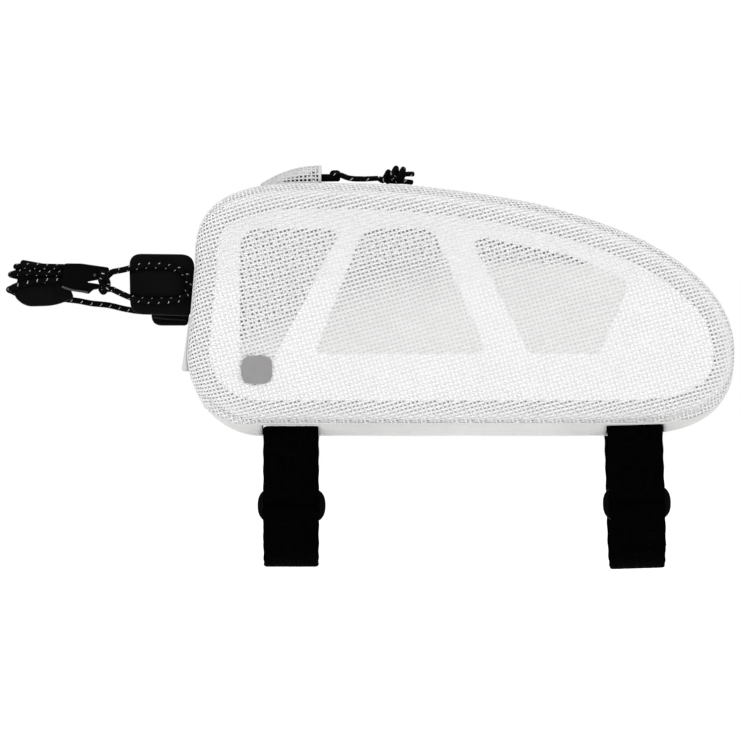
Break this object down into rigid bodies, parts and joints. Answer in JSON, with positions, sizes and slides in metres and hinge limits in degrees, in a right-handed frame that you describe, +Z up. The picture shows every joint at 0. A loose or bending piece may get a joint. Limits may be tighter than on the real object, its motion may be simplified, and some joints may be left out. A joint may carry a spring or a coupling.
{
  "type": "top tube bag",
  "caption": "Soft bicycle bag for a top tube: mesh sides over windowed foam, a top zip, two strap loops with rings and a front elastic cord with a hook.",
  "frame": {"origin": "middle of the base's flat underside, where the bag sits on the top tube", "axes": "+X along the bag to its tail, +Y to its far side, +Z up"},
  "size_m": [0.3319, 0.0573, 0.1853],
  "materials": {
    "mesh": "open square weave of coated white yarn",
    "foam": "white closed-cell foam",
    "cloth": "smooth white laminated cloth",
    "zip": "white coil zip on woven tape",
    "label": "plain grey patch",
    "webbing": "black hook-and-loop webbing",
    "plastic": "smooth black moulding",
    "rubber": "black coated rubber sheet",
    "cord": "black braided elastic with pale flecks"
  },
  "bodies": {
    "root": {"side_panel_near": "mesh", "side_panel_far": "mesh", "zip_garage": "mesh", "foam_frame_near": "foam", "foam_frame_far": "foam", "base": "cloth", "front_gusset": "cloth", "tail_gusset": "cloth", "zip_strip_near": "cloth", "zip_strip_far": "cloth", "front_flap": "cloth", "inner_pocket": "cloth", "zip_chain": "zip", "label_patch": "label", "strap_front": "webbing", "strap_rear": "webbing", "zip_slider": "plastic", "strap_ring_front": "plastic", "strap_ring_rear": "plastic", "hook_plate": "plastic", "front_tab_near": "rubber", "front_tab_far": "rubber", "hook_pad": "rubber", "bungee_near": "cord", "bungee_far": "cord", "bungee_knot": "cord", "pull_cord": "cord", "pull_knot": "cord"}
  },
  "joints": []
}
